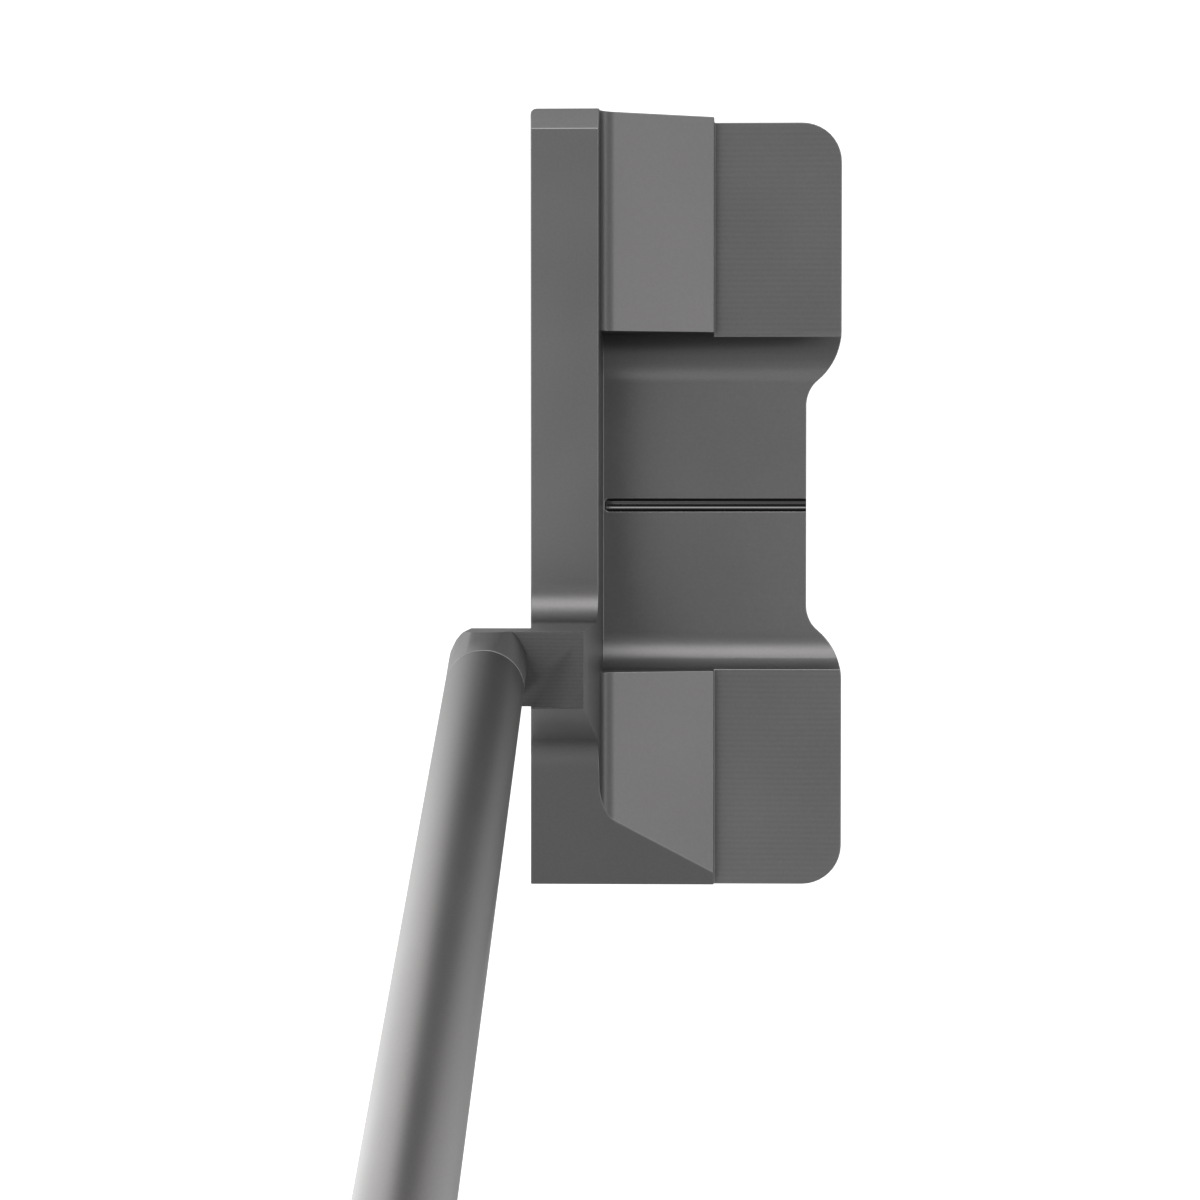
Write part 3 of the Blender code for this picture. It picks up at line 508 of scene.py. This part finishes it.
for vertex in sight_line.data.vertices:
    if vertex.co.z > line_low.z + ENAMEL_BLOCK / 2:
        side = abs(vertex.co.x) / line_wide
        rise = ENAMEL_SHOULDER * smooth_step(side, SHOULDER_FROM, SHOULDER_TO)
        vertex.co.z = floor_z - ENAMEL_TOP - ENAMEL_SHOULDER + rise
bpy.ops.object.shade_smooth_by_angle(angle=math.radians(50))

enamel, enamel_tree, enamel_shader = plain_material("black_enamel")
enamel_shader.inputs["Specular IOR Level"].default_value = 1.0
enamel_shader.inputs["Coat Weight"].default_value = 1.0
enamel_shader.inputs["Coat Roughness"].default_value = 0.03
enamel_patch = noise(enamel_tree, object_place(enamel_tree), 300.0, 2.0)
enamel_tone = mix_colour(enamel_tree, enamel_patch, ENAMEL_DARK, ENAMEL_LIGHT)
enamel_tree.links.new(enamel_tone, enamel_shader.inputs["Base Color"])
enamel_rough = maths(enamel_tree, "MULTIPLY_ADD", enamel_patch, 0.05, 0.05)
enamel_tree.links.new(enamel_rough, enamel_shader.inputs["Roughness"])
sight_line.data.materials.append(enamel)
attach(sight_line, "root")
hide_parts("sight_line_fill")

# ---------------------------------------------------------------------------------------------
# The damping pad. A strip of black elastomer, cut from sheet and pressed between the head and
# the sole plate, just behind the face.
# ---------------------------------------------------------------------------------------------
PAD_SNAP = 0.01 * MM
PAD_EDGE = 0.15 * MM
PAD_DARK = (0.018, 0.018, 0.019)
PAD_LIGHT = (0.04, 0.04, 0.042)

# Pebbled or cellular skin of a moulded piece: Tone varies from 0 to 1 and Height is the relief.
pebble, pebble_in, pebble_out = new_group(
    "pebbled_skin",
    [("Cell Scale", "NodeSocketFloat", 1400.0), ("Patch Scale", "NodeSocketFloat", 60.0)],
    ["Tone", "Height"],
)
pebble_place = object_place(pebble)
cells = pebble.nodes.new("ShaderNodeTexVoronoi")
cells.feature = "SMOOTH_F1"
pebble.links.new(pebble_place, cells.inputs["Vector"])
pebble.links.new(pebble_in.outputs["Cell Scale"], cells.inputs["Scale"])
pebble_patch = noise(pebble, pebble_place, pebble_in.outputs["Patch Scale"], 4.0, 0.6)
patch_tone = maths(pebble, "MULTIPLY", pebble_patch, 0.8)
cell_distance = cells.outputs["Distance"]
pebble.links.new(
    maths(pebble, "MULTIPLY_ADD", cell_distance, 0.35, patch_tone), pebble_out.inputs["Tone"])
pebble.links.new(maths(pebble, "SUBTRACT", 1.0, cell_distance), pebble_out.inputs["Height"])


def moulded(name, dark, light, roughness, cell_scale, relief, distance, patch_scale=60.0):
    """A moulded or cut plastic, rubber, foam or paper between two tones."""
    material, tree, shader = plain_material(name)
    skin = put_group(tree, pebble, Cell_Scale=cell_scale, Patch_Scale=patch_scale)
    tree.links.new(mix_colour(tree, skin.outputs["Tone"], dark, light), shader.inputs["Base Color"])
    tree.links.new(
        maths(tree, "MULTIPLY_ADD", skin.outputs["Tone"], 0.16, roughness - 0.08),
        shader.inputs["Roughness"])
    bump(tree, shader, skin.outputs["Height"], relief, distance)
    return material


def carry_over(node, material):
    """Gives a CAD node that keeps its shape its finish."""
    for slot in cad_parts[node].material_slots:
        slot.material = material


pad = whole_copy("sole_damping_pad", "damping_strip", PAD_SNAP)
break_edges(pad, PAD_EDGE, materials=1)
pad.data.materials[0] = moulded(
    "damping_elastomer", PAD_DARK, PAD_LIGHT, roughness=0.72, cell_scale=1800.0, relief=0.4,
    distance=0.03 * MM)
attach(pad, "root")
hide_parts("sole_damping_pad")

# ---------------------------------------------------------------------------------------------
# The sole plate. Stainless sheet, milled to its outline and countersunk for four screws, its
# edges broken, then brushed along its length. It lies flush in the recess of the sole.
# ---------------------------------------------------------------------------------------------
PLATE_EDGE = 0.25 * MM
PLATE_DARK = (0.40, 0.39, 0.38)
PLATE_LIGHT = (0.52, 0.51, 0.50)
PLATE_EDGE_DARK = (0.50, 0.49, 0.48)
PLATE_EDGE_LIGHT = (0.58, 0.57, 0.56)
SMALL_SNAP = 0.005 * MM
brushing, brushing_in, brushing_out = new_group(
    "brush_lines", [("Scale", "NodeSocketFloat", 1800.0)], ["Height", "Line"])
brush_place = stretched(brushing, object_place(brushing), (0.03, 1.0, 1.0))
hairs = noise(brushing, brush_place, brushing_in.outputs["Scale"], 4.0, 0.65)
brushing.links.new(hairs, brushing_out.inputs["Height"])
brushing.links.new(maths(brushing, "SUBTRACT", hairs, 0.5), brushing_out.inputs["Line"])


def brushed(tree, tone, height):
    """Adds the brush's hairlines."""
    lines = put_group(tree, brushing)
    tone = maths(tree, "MULTIPLY_ADD", lines.outputs["Line"], 1.1, tone)
    return tone, maths(tree, "MULTIPLY_ADD", lines.outputs["Height"], 2.0, height)


plate = whole_copy("sole_plate", "brushed_sole_plate", SMALL_SNAP)
break_edges(plate, PLATE_EDGE)
plate.data.materials[0] = satin_metal(
    "brushed_stainless", PLATE_DARK, PLATE_LIGHT, 0.30, extra=brushed)
plate.data.materials[1] = satin_metal("stainless_edge", PLATE_EDGE_DARK, PLATE_EDGE_LIGHT, 0.26)
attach(plate, "root")
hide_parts("sole_plate")

# ---------------------------------------------------------------------------------------------
# The four sole screws. Countersunk steel screws with a hexagon socket, oxide-blacked; they hold
# the plate and squeeze the pad.
# ---------------------------------------------------------------------------------------------
SCREW_EDGE = 0.08 * MM
SCREW_DARK = (0.20, 0.20, 0.205)
SCREW_LIGHT = (0.30, 0.30, 0.305)
SCREW_WORN_DARK = (0.34, 0.34, 0.335)
SCREW_WORN_LIGHT = (0.44, 0.44, 0.435)
screw_steel = satin_metal("blacked_screw_steel", SCREW_DARK, SCREW_LIGHT, 0.34)
screw_edge = satin_metal("worn_screw_edge", SCREW_WORN_DARK, SCREW_WORN_LIGHT, 0.28)
for number in range(1, 5):
    screw = whole_copy(f"sole_screw_{number}", f"countersunk_screw_{number}", SMALL_SNAP)
    break_edges(screw, SCREW_EDGE)
    screw.data.materials[0] = screw_steel
    screw.data.materials[1] = screw_edge
    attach(screw, "root")
    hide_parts(f"sole_screw_{number}")

# ---------------------------------------------------------------------------------------------
# The two sole weights, each on a nylon washer. The weights are turned steel discs with a
# threaded rim and a hexagon socket; the washer lies at the bottom of the pocket and locks them.
# ---------------------------------------------------------------------------------------------
WASHER_EDGE = 0.1 * MM
NYLON_DARK = (0.50, 0.48, 0.42)
NYLON_LIGHT = (0.62, 0.60, 0.54)
WEIGHT_EDGE = 0.12 * MM
WEIGHT_DARK = (0.33, 0.32, 0.31)
WEIGHT_LIGHT = (0.43, 0.42, 0.41)
WEIGHT_EDGE_DARK = (0.42, 0.41, 0.40)
WEIGHT_EDGE_LIGHT = (0.50, 0.49, 0.48)

# Rings round the Z axis, as a lathe tool leaves them: Height is the ridges and Line their tone.
rings, rings_in, rings_out = new_group(
    "turned_rings",
    [("Vector", "NodeSocketVector", (0, 0, 0)), ("Pitch", "NodeSocketFloat", 0.35 * MM)],
    ["Height", "Line"],
)
rings_split = rings.nodes.new("ShaderNodeSeparateXYZ")
rings.links.new(rings_in.outputs["Vector"], rings_split.inputs[0])
ring_x, ring_y, _ = rings_split.outputs
y_squared = maths(rings, "MULTIPLY", ring_y, ring_y)
ring_radius = maths(rings, "SQRT", maths(rings, "MULTIPLY_ADD", ring_x, ring_x, y_squared))
ring_turns = maths(rings, "DIVIDE", ring_radius, rings_in.outputs["Pitch"])
ring_wave = maths(rings, "SINE", maths(rings, "MULTIPLY", ring_turns, 2 * math.pi))
rings.links.new(ring_wave, rings_out.inputs["Height"])
ring_patch = noise(rings, rings_in.outputs["Vector"], 900.0, 3.0)
rings.links.new(maths(rings, "MULTIPLY", ring_wave, ring_patch), rings_out.inputs["Line"])


def turned_about(centre):
    """Adds the turned rings about a centre."""
    def add(tree, tone, height):
        place = tree.nodes.new("ShaderNodeMapping")
        place.inputs["Location"].default_value = (-centre.x, -centre.y, 0)
        tree.links.new(object_place(tree), place.inputs["Vector"])
        lines = put_group(tree, rings)
        tree.links.new(place.outputs[0], lines.inputs["Vector"])
        tone = maths(tree, "MULTIPLY_ADD", lines.outputs["Line"], 0.5, tone)
        return tone, maths(tree, "MULTIPLY_ADD", lines.outputs["Height"], 0.5, height)
    return add


nylon = moulded(
    "washer_nylon", NYLON_DARK, NYLON_LIGHT, roughness=0.5, cell_scale=900.0, relief=0.1,
    distance=0.02 * MM)
for side in ("toe", "heel"):
    washer = whole_copy(f"{side}_weight_washer", f"{side}_nylon_washer", SMALL_SNAP)
    break_edges(washer, WASHER_EDGE, materials=1)
    washer.data.materials[0] = nylon
    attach(washer, "root")
    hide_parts(f"{side}_weight_washer")

    weight_low, weight_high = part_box(f"{side}_weight")
    middle = (weight_low + weight_high) / 2
    weight = whole_copy(f"{side}_weight", f"{side}_turned_weight", SMALL_SNAP)
    break_edges(weight, WEIGHT_EDGE)
    weight.data.materials[0] = satin_metal(
        f"{side}_turned_steel", WEIGHT_DARK, WEIGHT_LIGHT, 0.28, extra=turned_about(middle))
    weight.data.materials[1] = satin_metal(
        f"{side}_weight_edge", WEIGHT_EDGE_DARK, WEIGHT_EDGE_LIGHT, 0.24)
    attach(weight, "root")
    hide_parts(f"{side}_weight")

# ---------------------------------------------------------------------------------------------
# The shaft plug. A cut cylinder of closed-cell foam, pushed down the bore onto the spigot, so
# that the adhesive can't run up the shaft.
# ---------------------------------------------------------------------------------------------
FOAM_DARK = (0.045, 0.045, 0.047)
FOAM_LIGHT = (0.085, 0.085, 0.088)
foam = moulded(
    "closed_cell_foam", FOAM_DARK, FOAM_LIGHT, roughness=0.9, cell_scale=2200.0, relief=0.8,
    distance=0.08 * MM)
carry_over("shaft_plug", foam)

# ---------------------------------------------------------------------------------------------
# The shaft. A drawn steel tube, 10.4 mm at the tip, that swells in ten short cones towards the
# butt, plated a dark satin. It slips over the spigot down to the barrel.
# ---------------------------------------------------------------------------------------------
LEAN = math.radians(20.0)
AXIS = Vector((math.sin(LEAN), 0, math.cos(LEAN)))
JOINT = Vector((23.77, -26.08, 74.5)) * MM
GROUND_TO_BUTT = 864.0 * MM
CAP_THICKNESS = 4.5 * MM
SHAFT_END = GROUND_TO_BUTT - JOINT.z / AXIS.z - CAP_THICKNESS
TIP_RADIUS = 5.2 * MM
BUTT_RADIUS = 7.5 * MM
TIP_PARALLEL = 200.0 * MM
STEP_PITCH = 30.0 * MM
STEP_CONE = 2.0 * MM
STEPS = 10
SHAFT_WALL = 0.5 * MM
JOINT_GAP = 0.12 * MM
TIP_CHAMFER = 0.12 * MM
SHAFT_SIDES = 96
SHAFT_DARK = (0.114, 0.111, 0.110)
SHAFT_LIGHT = (0.152, 0.148, 0.147)
on_axis = Matrix.Translation(JOINT) @ Matrix.Rotation(LEAN, 4, "Y")

bpy.ops.object.select_all(action="DESELECT")
bpy.ops.mesh.primitive_circle_add(
    vertices=SHAFT_SIDES, radius=TIP_RADIUS - TIP_CHAMFER, location=(0, 0, 0))
shaft = bpy.context.object
shaft.name = "stepped_shaft"
bpy.ops.object.mode_set(mode="EDIT")
bpy.ops.mesh.select_all(action="SELECT")
bpy.ops.transform.translate(value=(0, 0, JOINT_GAP))


def pull_ring(height, radius, old_radius):
    """Extrudes the open ring upwards and opens or closes it to a new radius."""
    bpy.ops.mesh.extrude_edges_move(TRANSFORM_OT_translate={"value": (0, 0, height)})
    scale = radius / old_radius
    bpy.ops.transform.resize(value=(scale, scale, 1))


pull_ring(TIP_CHAMFER, TIP_RADIUS, TIP_RADIUS - TIP_CHAMFER)
reached = JOINT_GAP + TIP_CHAMFER
radius = TIP_RADIUS
for step in range(STEPS):
    start = TIP_PARALLEL + step * STEP_PITCH
    wider = radius + (BUTT_RADIUS - TIP_RADIUS) / STEPS
    pull_ring(start - reached, radius, radius)
    pull_ring(STEP_CONE, wider, radius)
    reached = start + STEP_CONE
    radius = wider
pull_ring(SHAFT_END - reached, radius, radius)
bpy.ops.object.mode_set(mode="OBJECT")
wall = shaft.modifiers.new("wall", "SOLIDIFY")
wall.thickness = SHAFT_WALL
wall.offset = -1
apply_all(shaft)
shaft.data.transform(on_axis)
only(shaft)
bpy.ops.object.shade_smooth_by_angle(angle=math.radians(30))

shaft_metal = satin_metal("dark_plated_shaft", SHAFT_DARK, SHAFT_LIGHT, 0.34, relief=0.15)
shaft.data.materials.append(shaft_metal)
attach(shaft, "root")
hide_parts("shaft")

# ---------------------------------------------------------------------------------------------
# The grip tape and the foam core. Double-sided crepe tape is laid on the butt of the shaft, and
# the grip's foam underlisting is slid over it, wet with solvent, until it dries fast.
# ---------------------------------------------------------------------------------------------
TAPE_DARK = (0.50, 0.46, 0.36)
TAPE_LIGHT = (0.64, 0.60, 0.49)
tape = moulded(
    "crepe_tape", TAPE_DARK, TAPE_LIGHT, roughness=0.85, cell_scale=1300.0, relief=0.6,
    distance=0.05 * MM)
carry_over("grip_tape", tape)
carry_over("grip_core", foam)

# ---------------------------------------------------------------------------------------------
# The grip's skin. Moulded rubber in a pistol shape with a flat for the thumbs, a turned-in mouth
# at the shaft, and shallow cross grooves round its back for the fingers.
# ---------------------------------------------------------------------------------------------
GRIP_LENGTH = 262.0 * MM
GRIP_LOW_HALF = 11.2 * MM
GRIP_TOP_HALF_WIDTH = 14.5 * MM
GRIP_TOP_HALF_DEPTH = 16.5 * MM
THUMB_FLAT = 0.2
GRIP_SKIN = 1.4 * MM
GRIP_PITCH = 1.0 * MM
GRIP_SIDES = 72
GRIP_FOOT = SHAFT_END - GRIP_LENGTH
MOUTH_DROP = 1.5 * MM
FLAT_EDGE = 1.6 * MM
FINGER_PITCH = 8.0 * MM
FINGER_DEPTH = 0.45 * MM
FINGERS_BEGIN = (10.0 * MM, 22.0 * MM)  # above the grip's foot
FINGERS_END = (20.0 * MM, 9.0 * MM)     # below its top
MOUTH_CLEARANCE = 0.15 * MM
RUBBER_DARK = (0.022, 0.022, 0.023)
RUBBER_LIGHT = (0.050, 0.050, 0.052)


def grip_outline(station, angle, inset):
    """A point of the grip's section: (x, y) in the shaft's frame, where -X faces the thumbs."""
    share = min(max((station - GRIP_FOOT) / GRIP_LENGTH, 0), 1)
    swell = share * share * (3 - 2 * share)
    half_width = GRIP_LOW_HALF + (GRIP_TOP_HALF_WIDTH - GRIP_LOW_HALF) * swell - inset
    half_depth = GRIP_LOW_HALF + (GRIP_TOP_HALF_DEPTH - GRIP_LOW_HALF) * swell
    flat = inset - half_depth * (1 - THUMB_FLAT * share)
    x = (half_depth - inset) * math.cos(angle)
    blend = max(FLAT_EDGE - abs(x - flat), 0) / FLAT_EDGE * swell
    return max(x, flat) + blend * blend * FLAT_EDGE / 4, half_width * math.sin(angle)


def ring_stack(name, ring_points):
    """A shell of rings pulled up one after another. ring_points gives, for each ring, its
    point at an angle."""
    bpy.ops.object.select_all(action="DESELECT")
    bpy.ops.mesh.primitive_circle_add(vertices=GRIP_SIDES, radius=0.01)
    piece = bpy.context.object
    piece.name = name
    bpy.ops.object.mode_set(mode="EDIT")
    bpy.ops.mesh.select_all(action="SELECT")
    for _ in range(len(ring_points) - 1):
        bpy.ops.mesh.extrude_edges_move(TRANSFORM_OT_translate={"value": (0, 0, MM)})
    bpy.ops.object.mode_set(mode="OBJECT")
    for vertex in piece.data.vertices:
        ring = ring_points[round(vertex.co.z / MM)]
        vertex.co = ring(math.atan2(vertex.co.y, vertex.co.x))
    return piece


def skin_ring(station, inset):
    """A ring of the skin, with its share of a finger groove on the back."""
    def place(angle):
        on_back = smooth_step(math.cos(angle), -0.45, 0.05)
        clear = smooth_step(station, GRIP_FOOT + FINGERS_BEGIN[0], GRIP_FOOT + FINGERS_BEGIN[1])
        clear *= 1 - smooth_step(station, SHAFT_END - FINGERS_END[0], SHAFT_END - FINGERS_END[1])
        wave = (0.5 + 0.5 * math.cos(2 * math.pi * station / FINGER_PITCH)) ** 3
        x, y = grip_outline(station, angle, inset + FINGER_DEPTH * on_back * clear * wave)
        return x, y, station
    return place


mouth = GRIP_FOOT - MOUTH_DROP
mouth_radius = BUTT_RADIUS + MOUTH_CLEARANCE


def mouth_ring(angle):
    """The round edge that the turned-in mouth ends in, just clear of the shaft."""
    return mouth_radius * math.cos(angle), mouth_radius * math.sin(angle), mouth


skin_rings = [mouth_ring]
skin_rings += [skin_ring(mouth, 1.3 * MM), skin_ring(mouth + 0.25 * MM, 0.7 * MM)]
skin_rings += [skin_ring(mouth + 0.7 * MM, 0.2 * MM), skin_ring(mouth + 1.3 * MM, 0)]
for index in range(1, round((GRIP_LENGTH - MM) / GRIP_PITCH)):
    skin_rings.append(skin_ring(GRIP_FOOT + index * GRIP_PITCH, 0))
skin_rings += [skin_ring(SHAFT_END - 0.4 * MM, 0), skin_ring(SHAFT_END, 0.35 * MM)]
skin = ring_stack("grip_rubber_skin", skin_rings)
only(skin)
skin_wall = skin.modifiers.new("wall", "SOLIDIFY")
skin_wall.thickness = GRIP_SKIN
skin_wall.offset = -1
apply_all(skin)
skin.data.transform(on_axis)
bpy.ops.object.shade_smooth_by_angle(angle=math.radians(40))
rubber = moulded(
    "grip_rubber", RUBBER_DARK, RUBBER_LIGHT, roughness=0.62, cell_scale=1100.0, relief=0.5,
    distance=0.06 * MM)
skin.data.materials.append(rubber)
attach(skin, "root")
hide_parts("grip_skin")

# ---------------------------------------------------------------------------------------------
# The grip's cap. A firmer moulded rubber disc, glued into the top of the grip, slightly domed,
# with two rings and the vent hole that lets the air out as the grip goes on.
# ---------------------------------------------------------------------------------------------
VENT_RADIUS = 1.6 * MM
CAP_LOW = SHAFT_END + 0.3 * MM
CAP_TOP = SHAFT_END + CAP_THICKNESS
CAP_SNAP = 0.005 * MM
CAP_DARK = (0.018, 0.018, 0.019)
CAP_LIGHT = (0.036, 0.036, 0.038)
# Rings of the top, from the rim to the vent: how far below the top, in mm, and share of the
# outline. Two narrow channels lie between them.
CAP_FORM = (
    (1.9, 1.0), (1.25, 0.985), (0.85, 0.95), (0.6, 0.90), (0.5, 0.80), (0.85, 0.78), (0.85, 0.74),
    (0.42, 0.72), (0.2, 0.44), (0.6, 0.42), (0.6, 0.37), (0.12, 0.35), (0.0, 0.06), (0.3, 0),
)


def cap_ring(station, share):
    """A ring of the cap: share 1 is its outline and 0 the vent."""
    def place(angle):
        x, y = grip_outline(SHAFT_END, angle, 0)
        vent_x, vent_y = VENT_RADIUS * math.cos(angle), VENT_RADIUS * math.sin(angle)
        return vent_x + (x - vent_x) * share, vent_y + (y - vent_y) * share, station
    return place


cap_rings = [cap_ring(CAP_LOW, 0), cap_ring(CAP_LOW, 0.97), cap_ring(CAP_LOW + 0.4 * MM, 1.0)]
cap_rings += [cap_ring(CAP_TOP - drop * MM, share) for drop, share in CAP_FORM]
cap_rings.append(cap_ring(CAP_LOW, 0))
cap = ring_stack("grip_end_cap", cap_rings)
only(cap)
bpy.ops.object.mode_set(mode="EDIT")
bpy.ops.mesh.select_all(action="SELECT")
bpy.ops.mesh.remove_doubles(threshold=CAP_SNAP)
bpy.ops.mesh.normals_make_consistent(inside=False)
bpy.ops.object.mode_set(mode="OBJECT")
cap.data.transform(on_axis)
bpy.ops.object.shade_smooth_by_angle(angle=math.radians(38))
cap_rubber = moulded(
    "grip_cap_rubber", CAP_DARK, CAP_LIGHT, roughness=0.5, cell_scale=1500.0, relief=0.25,
    distance=0.03 * MM)
cap.data.materials.append(cap_rubber)
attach(cap, "root")
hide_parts("grip_cap")
